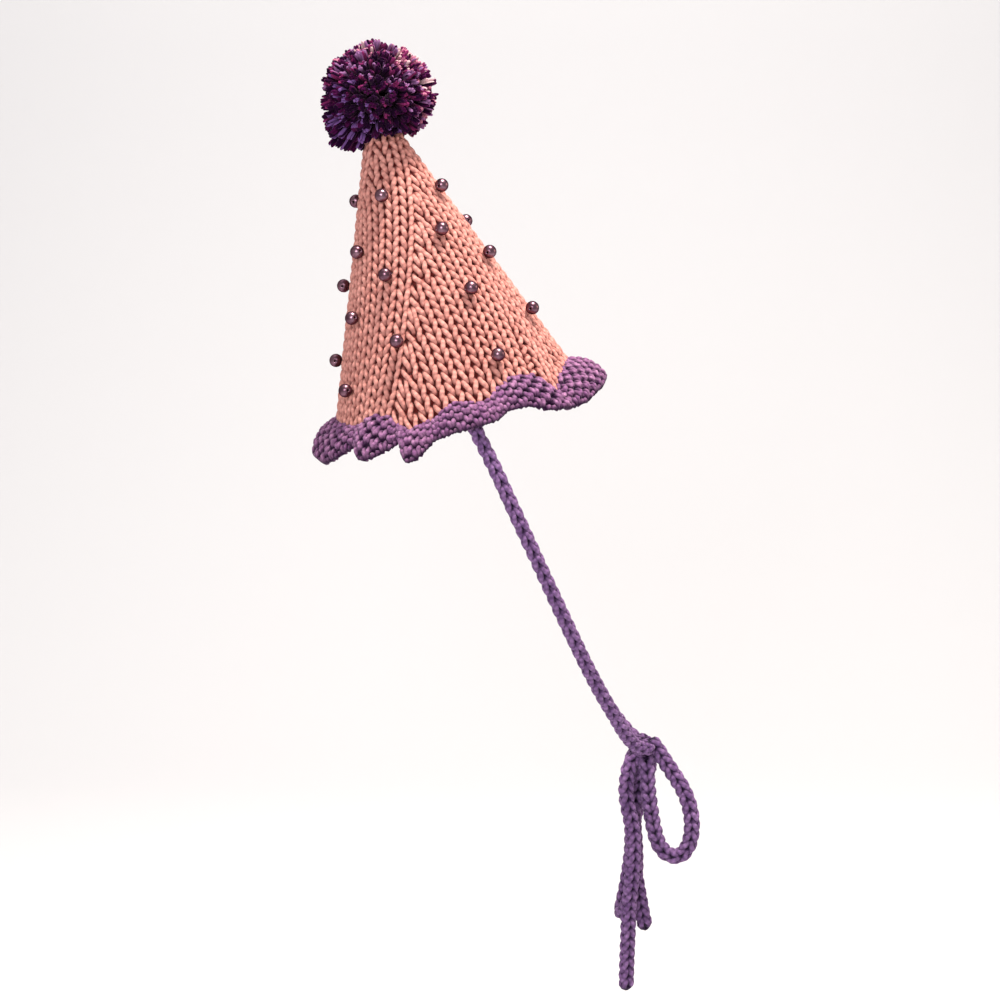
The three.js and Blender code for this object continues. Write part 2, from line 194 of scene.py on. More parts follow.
def yarnMaterial(name, look):
    material, nodes, links, shader = newMaterial(name)
    place = nodes.new("ShaderNodeTexCoord")
    # heather: slow and fine changes of shade along the yarn
    slow = nodes.new("ShaderNodeTexNoise")
    slow.inputs["Scale"].default_value = look["heatherScale"]
    slow.inputs["Detail"].default_value = look["heatherDetail"]
    links.new(place.outputs["Object"], slow.inputs["Vector"])
    shade = nodes.new("ShaderNodeValToRGB")
    shade.color_ramp.elements[0].position = look["heatherRange"][0]
    shade.color_ramp.elements[0].color = (*look["dark"], 1)
    shade.color_ramp.elements[1].position = look["heatherRange"][1]
    shade.color_ramp.elements[1].color = (*look["light"], 1)
    links.new(slow.outputs["Fac"], shade.inputs["Fac"])
    # painted shade: the yarn that dives behind the face is painted darker and deeper in colour
    paintedShade = nodes.new("ShaderNodeAttribute")
    paintedShade.attribute_name = "paintedShade"
    shadow = nodes.new("ShaderNodeMix")
    shadow.data_type = "RGBA"
    links.new(paintedShade.outputs["Fac"], shadow.inputs["Factor"])
    links.new(shade.outputs["Color"], shadow.inputs["A"])
    shadow.inputs["B"].default_value = (*look["deep"], 1)
    # plies: a helix round the yarn, from the map round it and the length along it
    roundYarn = nodes.new("ShaderNodeUVMap")
    roundYarn.uv_map = "UVMap"
    split = nodes.new("ShaderNodeSeparateXYZ")
    links.new(roundYarn.outputs["UV"], split.inputs["Vector"])
    along = nodes.new("ShaderNodeAttribute")
    along.attribute_name = "along"
    turns = nodes.new("ShaderNodeMath")
    turns.operation = "MULTIPLY_ADD"
    turns.inputs[1].default_value = 1 / look["plyPitch"]
    links.new(along.outputs["Fac"], turns.inputs[0])
    links.new(split.outputs["X"], turns.inputs[2])
    angle = nodes.new("ShaderNodeMath")
    angle.operation = "MULTIPLY"
    angle.inputs[1].default_value = 2 * math.pi * look["plies"]
    links.new(turns.outputs["Value"], angle.inputs[0])
    ply = nodes.new("ShaderNodeMath")
    ply.operation = "SINE"
    links.new(angle.outputs["Value"], ply.inputs[0])
    fibre = nodes.new("ShaderNodeTexNoise")
    fibre.inputs["Scale"].default_value = look["fibreScale"]
    fibre.inputs["Detail"].default_value = look["fibreDetail"]
    links.new(place.outputs["Object"], fibre.inputs["Vector"])
    height = nodes.new("ShaderNodeMath")
    height.operation = "MULTIPLY_ADD"
    height.inputs[1].default_value = look["plyHeight"]
    links.new(ply.outputs["Value"], height.inputs[0])
    links.new(fibre.outputs["Fac"], height.inputs[2])
    bump = nodes.new("ShaderNodeBump")
    bump.inputs["Strength"].default_value = look["bump"]
    bump.inputs["Distance"].default_value = look["bumpDistance"] * mm
    links.new(height.outputs["Value"], bump.inputs["Height"])
    links.new(bump.outputs["Normal"], shader.inputs["Normal"])
    # painted shade: the grooves between the plies are painted a little darker
    grooveShade = nodes.new("ShaderNodeMapRange")
    grooveShade.inputs["From Min"].default_value = -1
    grooveShade.inputs["To Min"].default_value = 1 - look["grooveShade"]
    links.new(ply.outputs["Value"], grooveShade.inputs["Value"])
    tone = nodes.new("ShaderNodeVectorMath")
    tone.operation = "SCALE"
    links.new(shadow.outputs["Result"], tone.inputs[0])
    links.new(grooveShade.outputs["Result"], tone.inputs["Scale"])
    links.new(tone.outputs["Vector"], shader.inputs["Base Color"])
    shader.inputs["Roughness"].default_value = look["roughness"]
    shader.inputs["Specular IOR Level"].default_value = look["specular"]
    shader.inputs["Sheen Weight"].default_value = look["sheen"]
    shader.inputs["Sheen Roughness"].default_value = look["sheenRoughness"]
    shader.inputs["Sheen Tint"].default_value = (*look["sheenTint"], 1)
    return material


# What all the knitting yarns share
yarnLook = {
    "heatherDetail": 4, "heatherRange": (0.34, 0.66), "fibreDetail": 6,
    "plies": 3, "plyPitch": 8, "plyHeight": 0.5, "bumpDistance": 0.4,
    "roughness": 0.92, "specular": 0.15, "sheenRoughness": 0.5,
}
# In each look, deep is the colour of painted shade on yarn behind the face of the knit
pinkLook = yarnLook | {
    "light": (0.85, 0.385, 0.325), "dark": (0.69, 0.285, 0.24), "deep": (0.15, 0.014, 0.012),
    "heatherScale": 150, "fibreScale": 1400,
    "bump": 0.65, "grooveShade": 0.22, "sheen": 0.1, "sheenTint": (1, 0.8, 0.72),
}
purpleLook = yarnLook | {
    "light": (0.51, 0.235, 0.435), "dark": (0.275, 0.103, 0.255),
    "deep": (0.022, 0.001, 0.028),
    "heatherScale": 220, "fibreScale": 1500,
    "bump": 0.9, "grooveShade": 0.35, "sheen": 0.15, "sheenTint": (0.85, 0.7, 0.95),
}

# the cords are a shade bluer
cordLook = purpleLook | {
    "light": (0.31, 0.165, 0.37), "dark": (0.16, 0.075, 0.21), "deep": (0.012, 0.001, 0.024),
}


# Knitted cords: three columns of stockinette that climb round a tube in one strand

cordForm = {
    "columns": 3,
    "yarnShare": 0.165,  # radius of the yarn, as a share of the cord's diameter
    "steps": 18,
    "sway": 0.27,
    "spread": 0.075,
    "rise": 0.8,         # share of the row's height
    "dip": 1.1,
    "endTaper": 0.5,     # rows over which a closed end is drawn in
    "lineStep": 2,       # spacing of the points along a cord's centreline
}


# A smooth line through all the points, at about the given spacing
def catmullRom(points, spacing):
    rounded = []
    ends = [2 * points[0] - points[1]] + points + [2 * points[-1] - points[-2]]
    for index in range(len(points) - 1):
        a, b, c, d = ends[index:index + 4]
        knots = [0, (b - a).length ** 0.5, 0, 0]
        knots[2] = knots[1] + (c - b).length ** 0.5
        knots[3] = knots[2] + (d - c).length ** 0.5
        count = max(2, round((c - b).length / spacing))
        for step in range(count):
            t = mix(knots[1], knots[2], step / count)
            ab = a.lerp(b, t / knots[1])
            bc = b.lerp(c, (t - knots[1]) / (knots[2] - knots[1]))
            cd = c.lerp(d, (t - knots[2]) / (knots[3] - knots[2]))
            abc = ab.lerp(bc, t / knots[2])
            bcd = bc.lerp(cd, (t - knots[1]) / (knots[3] - knots[1]))
            rounded.append(abc.lerp(bcd, (t - knots[1]) / (knots[2] - knots[1])))
    rounded.append(points[-1].copy())
    return rounded


# A line with its frames, so that a place on a cord can be asked for by length and turn
class Line:
    def __init__(self, points, firstSide):
        self.points = points
        self.lengths = [0]
        for a, b in zip(points, points[1:]):
            self.lengths.append(self.lengths[-1] + (b - a).length)
        self.total = self.lengths[-1]
        side = firstSide
        self.sides, self.tangents = [], []
        for index in range(len(points)):
            before = points[max(0, index - 1)]
            after = points[min(len(points) - 1, index + 1)]
            tangent = (after - before).normalized()
            side = (side - tangent * side.dot(tangent)).normalized()
            self.sides.append(side)
            self.tangents.append(tangent)
        self.cursor = 0

    def place(self, length):
        while self.cursor < len(self.points) - 2 and self.lengths[self.cursor + 1] < length:
            self.cursor += 1
        while self.cursor > 0 and self.lengths[self.cursor] > length:
            self.cursor -= 1
        i = self.cursor
        share = (length - self.lengths[i]) / (self.lengths[i + 1] - self.lengths[i])
        centre = self.points[i].lerp(self.points[i + 1], share)
        inside = min(1, max(0, share))
        side = self.sides[i].lerp(self.sides[i + 1], inside).normalized()
        tangent = self.tangents[i].lerp(self.tangents[i + 1], inside).normalized()
        return centre, side, tangent.cross(side)


def cordStrand(line, diameter, rowHeight, closedEnds):
    form = cordForm
    columns = form["columns"]
    yarn = diameter * form["yarnShare"]
    girth = diameter / 2 - form["dip"] - yarn
    rows = max(2, round((line.total - 2 * yarn) / rowHeight))
    rowHeight = (line.total - 2 * yarn) / rows
    steps = []
    for stitch in range(rows * columns):
        for across, up, out in loopSteps(form):
            climb = (stitch + across) / columns
            length = yarn + (climb + up) * rowHeight
            length = min(line.total - yarn, max(yarn, length))
            toEnd = (line.total - yarn - length) / (form["endTaper"] * rowHeight)
            toStart = (length - yarn) / (form["endTaper"] * rowHeight)
            drawn = 1
            if closedEnds[0]:
                drawn = min(drawn, math.sqrt(min(1, max(0, toStart))))
            if closedEnds[1]:
                drawn = min(drawn, math.sqrt(min(1, max(0, toEnd))))
            centre, side, other = line.place(length)
            turn = 2 * math.pi * climb
            reach = (girth + out) * drawn
            outward = side * math.cos(turn) + other * math.sin(turn)
            steps.append((centre + outward * reach, yarn, outward, reach))
    return steps


# Each tie is sewn to the inside of the ruffle and hangs down into the knot. The right one is
# also laid over the side of it.
ties = {
    "tie_right": [
        (6.26, -56.59, -0.36), (8.8, -63.38, -6.92), (13.4, -68, -16.2), (23.8, -72, -36.7),
        (33.6, -75, -57.8), (43.4, -75, -79.2), (53.4, -73, -101.1), (63.5, -68, -123.5),
        (73.2, -60, -144.5), (82.2, -50, -162.8), (89.8, -40, -176.9), (96, -30, -188.4),
        (101, -21, -195.8), (105.2, -15.4, -199.6), (109.2, -12, -201), (112.8, -7, -201),
    ],
    "tie_left": [
        (3.51, 59.01, -1.11), (5.73, 66.46, -7.76), (7.1, 68, -16.2), (16.9, 72, -36.7),
        (26.9, 75, -57.8), (36.7, 75, -79.2), (46.9, 73, -101.1), (57.4, 68, -123.5),
        (67.4, 60, -144.5), (76.7, 50, -162.8), (84.6, 40, -176.9), (91.6, 30, -187.3),
        (98.8, 20.2, -195.2), (105, 13.6, -200.4), (109, 7.2, -202.6), (110.4, 1.6, -203),
    ],
}
tieForm = {
    "diameter": 8.4,
    "rowHeight": 6.9,    # the ties are pulled longer than the bow
    # distances from the middle of the knit over which the painted shade fades out
    "shadeReach": (1.9, 3.4),
    "lay": "taut",
}

# The bow's strands, each from a root in the knot, which covers the front loop's ends only
# in part; a loop comes back to the knot
bowRoutes = {
    "bow_loop_front": [
        (111.6, -4.4, -197.6), (115.4, -4.8, -202.2), (119.4, -5.4, -208.4),
        (124.6, -7.6, -216), (130.4, -10.6, -225.2), (134, -12, -235), (135.2, -12, -246.3),
        (133.2, -12, -256.8), (128.4, -12, -262.4), (122.2, -12, -262), (117, -12, -256.6),
        (113.9, -11.6, -247.2), (111.9, -11.3, -236), (110.4, -11, -225), (109.8, -10, -215.2),
        (109.2, -6.6, -206.15),
    ],
    "bow_loop_back": [
        (105.2, 4.8, -206.15), (101.9, 9.6, -212.15), (101.9, 9.6, -215.2), (101.8, 8.8, -226),
        (103, 7.6, -244), (104.4, 7.4, -262), (104.4, 8, -279), (101.8, 10.8, -293),
        (98.2, 16.5, -303.6), (97.6, 23.5, -303), (100.4, 28.6, -291), (103.2, 30, -272),
        (104.4, 28.6, -255), (107.6, 24.6, -239), (111, 18, -225.6), (112.6, 11.6, -215.2),
        (112.6, 11.6, -212.15), (110.5, 5.8, -206.15),
    ],
    "bow_tail_long": [
        (104.1, -3.8, -206.15), (99.8, -7.6, -212.15), (99, -9, -216), (97.8, -12, -223),
        (98.2, -14.6, -231), (100.3, -15.6, -241), (101.7, -16, -252), (101.6, -16, -265),
        (100.7, -15.6, -278), (99.6, -15, -290), (99.2, -14.6, -306), (98.6, -14.2, -324),
        (98.2, -14, -340.4),
    ],
    "bow_tail_short": [
        (108, 0.1, -206.15), (107.6, 0.2, -212.15), (107.6, 0.2, -215.2), (105.8, -1, -223),
        (102.8, -3, -237), (101.9, -3.8, -252), (102.8, -4.2, -269), (105.8, -4.6, -287),
        (109.8, -5, -308),
    ],
}
bowForm = {
    "diameter": 9.6,
    "rowHeight": 5.6,
    # distances from the middle of the knit over which the painted shade fades out
    "shadeReach": (2.7, 4.3),
    "lay": "hanging",
}

knot = {
    "centre": (107.4, 0, -202.4),
    "diameter": 8,
    "steps": 48,
    # each turn of cord: half widths along X and Y, height, and lean forwards and sideways
    "turns": [
        {"x": 4.4, "y": 6.4, "z": -3, "lean": 3, "roll": -3},
        {"x": 3.6, "y": 5.2, "z": 2.4, "lean": 10, "roll": 8},
    ],
}


def knitTube(name, line, form, closedEnds, material):
    strands = []
    addStrand(strands, cordStrand(line, form["diameter"], form["rowHeight"], closedEnds))
    return sweepYarn(name, strands, 2, material, form["shadeReach"])


def makeKnot(material):
    strands = []
    centre = Vector(knot["centre"])
    for turn in knot["turns"]:
        tip = Matrix.Rotation(math.radians(turn["lean"]), 3, "Y") @ Matrix.Rotation(
            math.radians(turn["roll"]), 3, "X")
        ring = []
        for step in range(knot["steps"] + 1):
            angle = 2 * math.pi * step / knot["steps"]
            flat = Vector((turn["x"] * math.cos(angle), turn["y"] * math.sin(angle), 0))
            ring.append(centre + tip @ flat + Vector((0, 0, turn["z"])))
        line = Line(ring, Vector((0, 0, 1)))
        turned = cordStrand(line, knot["diameter"], bowForm["rowHeight"], (False, False))
        addStrand(strands, turned)
    return sweepYarn("bow_knot_yarn", strands, 2, material, bowForm["shadeReach"])


def makeCord(name, route, form, firstSide, closedEnds, material):
    line = Line(catmullRom([Vector(p) for p in route], cordForm["lineStep"]), firstSide)
    piece = knitTube(name + "_yarn", line, form, closedEnds, material)
    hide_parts(name)
    [p * mm for p in line.points]
    print(name, "length", round(line.total), "mm")


def makeCords(material):
    knotPiece = makeKnot(material)
    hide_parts("bow_knot")
    for name, route in ties.items():
        inwards = Vector((0, -1 if name == "tie_left" else 1, 0))
        makeCord(name, route, tieForm, inwards, (True, False), material)
    for name, route in bowRoutes.items():
        closedEnds = (False, "tail" in name)
        makeCord(name, route, bowForm, Vector((0, 1, 0)), closedEnds, material)


# Crown: rings of stockinette in four panels. In the cone's flat development each row of a
# panel is a straight line, its columns run along its right edge, and its left edge eats them

crown = {
    "panels": 4,
    "stitchWidth": 8.72,
    "rowHeight": 5.4,
    "yarn": 1.5,
    "backYarn": 1.1,         # how much thicker the yarn is where it runs behind
    "shadeSheet": -0.5,         # level of the dark sheet of painted shade between the stitches
    "steps": 20,
    "sway": 0.21,
    "spread": 0,
    "rise": 4.6,
    "dip": 1.25,
    "rimAzimuth": -30,       # first decrease line at the rim
    "twist": 51.5,           # degrees gained each time the slant distance falls by e
    "firstRow": 2.6,         # distance of the first row's middle above the rim
    "seamFade": 4,           # how soon the seam's waves fade out upwards
    "bendFade": 1.5,         # how soon the rows grow straight upwards
    "edgeTurn": 0.6,         # stitches over which the loops turn to run along a panel's edge
    "uneven": 0.22,          # hand-knit unevenness of each loop
    "swell": 0.06,           # how much thicker or thinner a loop's yarn may be
    "lowerPart": 0.25,       # share of the rows in the lower of the two pieces
    "shadeSheetGrid": (144, 60),
    # distances from the middle of the knit over which the painted shade fades out
    "shadeReach": (0.6, 2.3),
}

# Height of the seam and lower edge of the ruffle, and how far that edge stands out, at the
# same folds as the CAD source: azimuth, top, low, flare
ruffleFolds = [
    (-111, 1, -19, 12), (-98, -3, -12, 5), (-86, 2, -15, 12.5), (-72, -0.5, -19.5, 9),
    (-52, -3, -13.5, 1), (-40, 0.5, -21, 9.5), (-31, -1.5, -18.8, 5), (-26.5, -7, -16, 0),
    (-21, -11, -27.5, 7), (-11, -9, -20, 1), (1, -3.5, -18.5, 5), (15, -7, -18.5, 3),
    (23, -2, -15, 2), (31, 1.5, -15.5, 5), (42, -0.5, -22, 8), (51, -14, -24, 4),
    (59, -6, -23.5, 8), (74, -1.5, -19.5, 11), (88, -0.5, -16.5, 13), (102, -4, -15, 3),
    (118, 1, -21, 11), (134, -5, -15, 2), (150, 1, -22, 10), (167, -5, -16, 2),
    (183, 1, -21, 9), (200, -5, -15, 1), (216, 1, -22, 10), (233, -4, -14, 2),
]
pinch = 0.7              # how round the lobes and how pinched the folds between them are


def foldValues(azimuth):
    first = ruffleFolds[0][0]
    turned = first + (azimuth - first) % 360
    following = ruffleFolds[1:] + [(first + 360, *ruffleFolds[0][1:])]
    for here, after in zip(ruffleFolds, following):
        if turned <= after[0]:
            share = (turned - here[0]) / (after[0] - here[0])
            eased = (1 - math.cos(math.pi * share)) / 2
            if after[3] > here[3]:
                lobe = math.sin(math.pi / 2 * share)
            else:
                lobe = 1 - math.cos(math.pi / 2 * share)
            lobe = mix(eased, lobe, pinch)
            top = mix(here[1], after[1], eased)
            return top, mix(here[2], after[2], lobe), mix(here[3], after[3], lobe)


def crownPoint(slant, angle, out):
    azimuth = math.degrees(angle / math.sin(coneAngle))
    height = hat["coneHeight"] - slant * math.cos(coneAngle)
    share = min(1, max(0, height / hat["crownTop"]))
    height += foldValues(azimuth)[0] * (1 - share) ** crown["seamFade"]
    middle = out - hat["wall"] / 2
    radius = coneRadius(height) + middle * math.cos(coneAngle)
    return hatPoint(azimuth, radius, height + middle * math.sin(coneAngle))


def crownRow(slant, rng):
    rim = hat["coneHeight"] / math.cos(coneAngle)
    # towards the rim the straight rows are bent round, so that the lowest one follows it
    bend = (1 - hat["coneHeight"] * (1 - slant / rim) / hat["crownTop"]) ** crown["bendFade"]
    lineAngle = crown["rimAzimuth"] - crown["twist"] * math.log(slant / rim)
    spread = math.radians(360 / crown["panels"]) * math.sin(coneAngle)
    width = 2 * slant * math.sin(spread / 2)
    stitches = max(1, round(width / crown["stitchWidth"]))
    steps = []
    for panel in range(crown["panels"]):
        right = math.radians(lineAngle) * math.sin(coneAngle) + spread * (crown["panels"] - panel)
        left = right - spread
        start = Vector((math.cos(right), math.sin(right))) * slant
        end = Vector((math.cos(left), math.sin(left))) * slant
        for stitch in range(stitches):
            wide = crown["stitchWidth"]
            if stitch == stitches - 1:
                wide = width - wide * (stitches - 1)
            begin = crown["stitchWidth"] * stitch
            lean = rng.uniform(-1, 1) * crown["uneven"]
            swell = 1 + rng.uniform(-crown["swell"], crown["swell"])
            for across, up, out in loopSteps(crown):
                far = begin + across * wide
                edge = min(far, width - far) / (crown["edgeTurn"] * crown["stitchWidth"])
                boundary = right if far < width / 2 else left
                facing = mix(boundary, right - spread / 2, smooth(edge))
                flat = start.lerp(end, far / width)
                climb = up + lean * math.sin(math.pi * across)
                flat -= Vector((math.cos(facing), math.sin(facing))) * climb
                angle = math.atan2(flat.y, flat.x)
                if angle < right - math.pi:
                    angle += 2 * math.pi
                sag = slant * (1 - math.cos(spread / 2) / math.cos(angle - right + spread / 2))
                reach = flat.length + max(0, sag) * bend
                middle = crownPoint(reach, angle, 0)
                outward = crownPoint(reach, angle, 1) - middle
                back = (1 - out / crown["dip"]) / 2
                yarn = crown["yarn"] * swell * mix(1, crown["backYarn"], back)
                steps.append((middle + outward * out, yarn, outward, out))
    return steps


def makeCrown(material):
    rng = random.Random(5)
    strands = []
    rim = hat["coneHeight"] / math.cos(coneAngle)
    top = (hat["coneHeight"] - hat["crownTop"]) / math.cos(coneAngle)
    spread = math.radians(360 / crown["panels"]) * math.sin(coneAngle)
    step = crown["rowHeight"] / math.cos(spread / 2)
    slant = rim - crown["firstRow"]
    # the last row stays clear of the gathering
    while slant > top + step * 0.4:
        addStrand(strands, crownRow(slant, rng), closed=True)
        slant -= step
    print("crown rows", len(strands))
    rows = int(len(strands) * crown["lowerPart"])
    lower = sweepYarn("crown_knit_lower", strands[:rows], 2, material, crown["shadeReach"])
    upper = sweepYarn("crown_knit_upper", strands[rows:], 2, material, crown["shadeReach"])

    def shadeSheetPoint(azimuth, share):
        angle = math.radians(azimuth) * math.sin(coneAngle)
        return crownPoint(mix(rim + 1, top, share), angle, crown["shadeSheet"])

    # the gaps between the stitches are closed with a dark sheet of painted shade
    addShadeSheet(lower, *crown["shadeSheetGrid"], shadeSheetPoint)
    for piece in (lower, upper):
        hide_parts("crown")


# Ruffle: seed stitch on a wavy band, knit and purl by turns, so that both sides are bumpy

ruffle = {
    "thickness": 5.6,
    "belly": 0.4,        # how far the band bows outwards, and its share of the flare as well
    "puff": 0.26,
    "stitches": 112,
    "rows": 6,
    "yarn": 1.34,
    "steps": 15,
    "sway": 0.2,
    "spread": 0,
    "rise": 2.5,
    "dip": 1.45,
    "firstRow": 0.8,     # from the seam to the first row's middle, in rows
    "margins": 0.35,     # room at the band's edges, in rows
    "uneven": 0.55,
    "swell": 0.08,
    "crossing": 0.16,    # share of a stitch in which the yarn crosses the band
    "middleHeight": 18,  # height of band that the rise is given for
    "heightShare": 0.7,  # how much of the band's change of height the rise follows
    # distances from the middle of the knit over which the painted shade fades out
    "shadeReach": (0.9, 2.8),
    "highest": 0.04,     # share of the band's height that the first row may climb to
    "footRise": 0.6,     # height of the foot's middle over its edge, in half thicknesses
    "measuredAt": 0.6,   # share of the band's height where its stitches are spaced
    "fine": 720,         # points at which the band's length is measured
    "shadeSheetGrid": (360, 12),
    "shadeSheetShare": 0.93,
}


# Middle of the band at an azimuth, from the seam at share 0 to the lower edge at 1, and out
def rufflePoint(azimuth, share, out):
    top, low, flare = foldValues(azimuth)
    half = ruffle["thickness"] / 2
    head = Vector((coneRadius(top) - hat["wall"] / math.cos(coneAngle) / 2, top))
    foot = Vector((coneRadius(low) + flare - half, low + half * ruffle["footRise"]))
    fall = (foot - head).normalized()
    across = Vector((-fall.y, fall.x))
    belly = 4 * share * (1 - share) * (ruffle["belly"] + ruffle["puff"] * flare)
    place = head.lerp(foot, share) + across * (belly + out)
    return hatPoint(azimuth, place.x, place.y)


def makeRuffle(material):
    rng = random.Random(8)
    # stitches are evenly spaced along the wavy band, so the folds hold more of them
    fine = ruffle["fine"]
    lengths = [0]
    before = rufflePoint(0, ruffle["measuredAt"], 0)
    for step in range(1, fine + 1):
        after = rufflePoint(360 * step / fine, ruffle["measuredAt"], 0)
        lengths.append(lengths[-1] + (after - before).length)
        before = after
    total = lengths[-1]
    print("ruffle length", round(total), "mm")

    def azimuthAt(share):
        length = (share % 1) * total
        low, high = 0, fine
        while high - low > 1:
            middle = (low + high) // 2
            if lengths[middle] <= length:
                low = middle
            else:
                high = middle
        return 360 * (low + (length - lengths[low]) / (lengths[high] - lengths[low])) / fine

    strands = []
    for row in range(ruffle["rows"]):
        steps = []
        level = (row + ruffle["firstRow"]) / (ruffle["rows"] + ruffle["margins"])
        for stitch in range(ruffle["stitches"]):
            shift = rng.uniform(-1, 1) * ruffle["uneven"]
            swell = 1 + rng.uniform(-ruffle["swell"], ruffle["swell"])
            side = 1 if (stitch + row) % 2 else -1
            for across, up, out in loopSteps(ruffle):
                azimuth = azimuthAt((stitch + across) / ruffle["stitches"])
                top, low, flare = foldValues(azimuth)
                tall = math.hypot(top - low, flare)
                up *= (tall / ruffle["middleHeight"]) ** ruffle["heightShare"]
                share = level + (-up + shift * math.sin(math.pi * across)) / tall
                share = min(1.0, max(ruffle["highest"], share))
                # the yarn crosses the band between a knit and a purl stitch
                face = out * side * smooth(min(across, 1 - across) / ruffle["crossing"])
                middle = rufflePoint(azimuth, share, 0)
                outward = rufflePoint(azimuth, share, 1) - middle
                steps.append((middle + outward * face, ruffle["yarn"] * swell, outward, face))
        addStrand(strands, steps, closed=True)
    piece = sweepYarn("ruffle_knit", strands, 2, material, ruffle["shadeReach"])

    def shadeSheetPoint(azimuth, share):
        return rufflePoint(azimuth, share * ruffle["shadeSheetShare"], 0)

    # the gaps between the stitches are closed with a dark sheet of painted shade
    addShadeSheet(piece, *ruffle["shadeSheetGrid"], shadeSheetPoint)
    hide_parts("ruffle")


# Pompom: tufts of cut yarn, spread evenly over a ball, each of a few plies that stand apart

pompom = {
    "centre": (3.8, 0, 168.8),    # in the frame that leans with the hat
    "reach": 29.8,
    "root": 16,
    "tufts": 700,
    "plies": 4,
    "yarn": 0.98,
    "curl": 2.4,         # how far a tuft's tip bends over
    "uneven": 1.7,
    "scatter": 0.05,     # how far a tuft's direction strays from even spacing
    "clear": (2, 2.5),   # room kept around the crown's top: below its height, and beside it
    # how far the plies of a tuft stand apart, in yarn radii: at the root, and the least and
    # the most at the tip
    "apart": (0.6, 0.8, 1.7),
    "plyLength": (-0.7, 0.5),    # how much shorter or longer each ply may be cut
    "plyTurn": 1.8,      # radians that the plies turn round each other along a tuft
    "flatTop": 2,        # the tufts on top are this much shorter
    "floor": 20.5,       # how far below the centre the tufts may end
    "droop": 5.5,        # extra reach of those that sag at the lower back
    "hang": 9,           # how much lower than the floor those may end
    "droopWay": (-0.75, -0.12, -0.65),
    "droopEdge": 6,      # how sharply the sagging ends give way to the others
    # distances from the centre within which the tufts are fully in painted shade, and beyond
    # which they are free of it
    "shadeReach": (21, 31),
    # along each ply: share of the way, and of the yarn's radius
    "taper": [(0, 0.8), (0.5, 1), (0.75, 1.05), (0.9, 1.05), (0.97, 0.8), (1, 0.35)],
    # how much lighter the yarn is painted towards the front, the wearer's left and the top:
    # partly the mix of the yarn's shades, partly painted light, with the side facing the camera
    # in painted shade
    "lighter": (0.14, 0.22, 0.2),
    "middleShade": 0.285,        # where the range of shades begins at the middle of the zones
    "shadeRange": 0.66,
    "cells": 11,                 # patches of one shade along the ball's radius
    # colour of the painted shade towards the ball's core
    "deep": (0.008, 0.002, 0.010),
    "fibreScale": 1500,
    "bump": 0.6,
    "bumpDistance": 0.3,
    "sheen": 0.12,
    "sheenTint": (0.9, 0.5, 0.75),
}

# Shades of the yarn, each from a share of the range upwards: the low end is found more
# underneath and the high end on top, where light is painted; the lightest stand partly for
# painted highlights on the cut ends
pompomShades = [
    (0.0, (0.17, 0.075, 0.25)), (0.14, (0.014, 0.001, 0.018)), (0.48, (0.055, 0.003, 0.042)),
    (0.64, (0.20, 0.020, 0.10)), (0.76, (0.30, 0.13, 0.30)), (0.86, (0.52, 0.18, 0.28)),
    (0.95, (0.70, 0.45, 0.48)),
]


def makePompom(material):
    rng = random.Random(11)
    strands = []
    centre = Vector(pompom["centre"])
    sagWay = Vector(pompom["droopWay"]).normalized()
    down = tiltMatrix.inverted() @ Vector((0, 0, -1))
    stemTop = hat["crownTop"] - pompom["clear"][0]
    scatter = pompom["scatter"]
    for index in range(pompom["tufts"]):
        height = 1 - (2 * index + 1) / pompom["tufts"]
        turn = index * math.pi * (3 - math.sqrt(5))
        ring = math.sqrt(1 - height * height)
        way = Vector((ring * math.cos(turn), ring * math.sin(turn), height))
        way += Vector([rng.uniform(-scatter, scatter) for _ in range(3)])
        way.normalize()
        reach = pompom["reach"] + rng.uniform(-1, 1) * pompom["uneven"]
        sag = max(0, way.dot(sagWay)) ** pompom["droopEdge"]
        reach += pompom["droop"] * sag - pompom["flatTop"] * max(0, way.z)
        lowest = pompom["floor"] + pompom["hang"] * sag
        reach = min(reach, lowest / max(0.01, way.dot(down)))
        tip = centre + way * reach
        beside = coneRadius(tip.z) + pompom["clear"][1]
        if tip.z < stemTop and math.hypot(tip.x, tip.y) < beside:
            continue
        side = way.orthogonal().normalized()
        other = way.cross(side)
        bend = Vector([rng.uniform(-1, 1) for _ in range(3)]) * pompom["curl"]
        twist = rng.uniform(0, 2 * math.pi)
        outward = tiltMatrix @ way
        for ply in range(pompom["plies"]):
            steps = []
            spread = rng.uniform(*pompom["apart"][1:])
            extra = rng.uniform(*pompom["plyLength"])
            for share, swell in pompom["taper"]:
                spin = twist + 2 * math.pi * ply / pompom["plies"] + share * pompom["plyTurn"]
                apart = mix(pompom["apart"][0], spread, share) * pompom["yarn"]
                level = mix(pompom["root"], reach + extra, share)
                place = centre + way * level + bend * share * share
                place += (side * math.cos(spin) + other * math.sin(spin)) * apart
                steps.append((tiltMatrix @ place, pompom["yarn"] * swell, outward, level))
            addStrand(strands, steps)
    piece = sweepYarn("pompom_yarn", strands, 1, material, pompom["shadeReach"])
    # each ply's cut end is closed
    bm = bmesh.new()
    bm.from_mesh(piece.data)
    bmesh.ops.holes_fill(bm, edges=[e for e in bm.edges if e.is_boundary], sides=8)
    bm.to_mesh(piece.data)
    bm.free()
    piece.data.shade_smooth()
    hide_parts("pompom")


# Beads: pearls with a bore, at the places of the CAD's beads

bead = {
    "radius": 3.75,
    "hole": 0.62,
    "holeDepth": 0.7,    # share of the radius that the hole's wall reaches out to
    "segments": 32,
    "rings": 14,
    "cloudScale": 260,
    "shadeRange": (0.35, 0.65),
    "shades": ((0.15, 0.07, 0.10), (0.28, 0.155, 0.195)),
    "edgeTint": (0.1, 0.02, 0.05),
    "roughness": 0.31,
}


